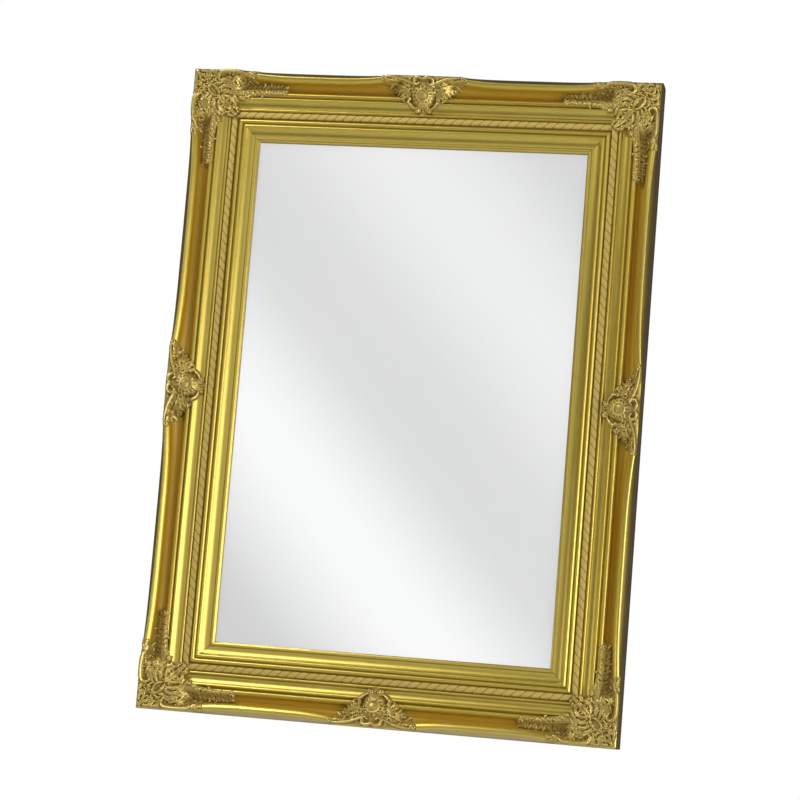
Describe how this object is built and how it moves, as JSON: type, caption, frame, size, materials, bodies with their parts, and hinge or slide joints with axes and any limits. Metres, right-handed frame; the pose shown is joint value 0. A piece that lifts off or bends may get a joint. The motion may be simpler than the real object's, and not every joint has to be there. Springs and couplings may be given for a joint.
{
  "type": "wall mirror",
  "caption": "Rectangular wall mirror in a wide gilt swept frame with rope twist, cast leaf corners and centres, on a sawtooth hanger.",
  "frame": {"origin": "middle of the flat back face of the sawtooth hanger, centred across the top rail", "axes": "mirror faces -Y, width along X, height along Z, +Y is into the wall"},
  "size_m": [0.556, 0.0447, 0.756],
  "materials": {
    "burnished_gold": "gold leaf over a warm ground, satin burnished on the ridges, dark brown outer sides",
    "cast_gold": "gilt composition casting with a pale beige wash in the hollows",
    "silvered_glass": "clear silvered sheet glass",
    "backing_board": "plain brown fibreboard",
    "zinc_steel": "zinc plated, dull"
  },
  "bodies": {
    "root": {"top_rail": "burnished_gold", "bottom_rail": "burnished_gold", "left_stile": "burnished_gold", "right_stile": "burnished_gold", "rope_twist_top": "cast_gold", "rope_twist_bottom": "cast_gold", "rope_twist_left": "cast_gold", "rope_twist_right": "cast_gold", "corner_ornament_top_left": "cast_gold", "corner_ornament_top_right": "cast_gold", "corner_ornament_bottom_left": "cast_gold", "corner_ornament_bottom_right": "cast_gold", "centre_ornament_top": "cast_gold", "centre_ornament_bottom": "cast_gold", "centre_ornament_left": "cast_gold", "centre_ornament_right": "cast_gold", "mirror_glass": "silvered_glass", "backboard": "backing_board", "sawtooth_hanger": "zinc_steel", "hanger_screw_left": "zinc_steel", "hanger_screw_right": "zinc_steel"}
  },
  "joints": []
}
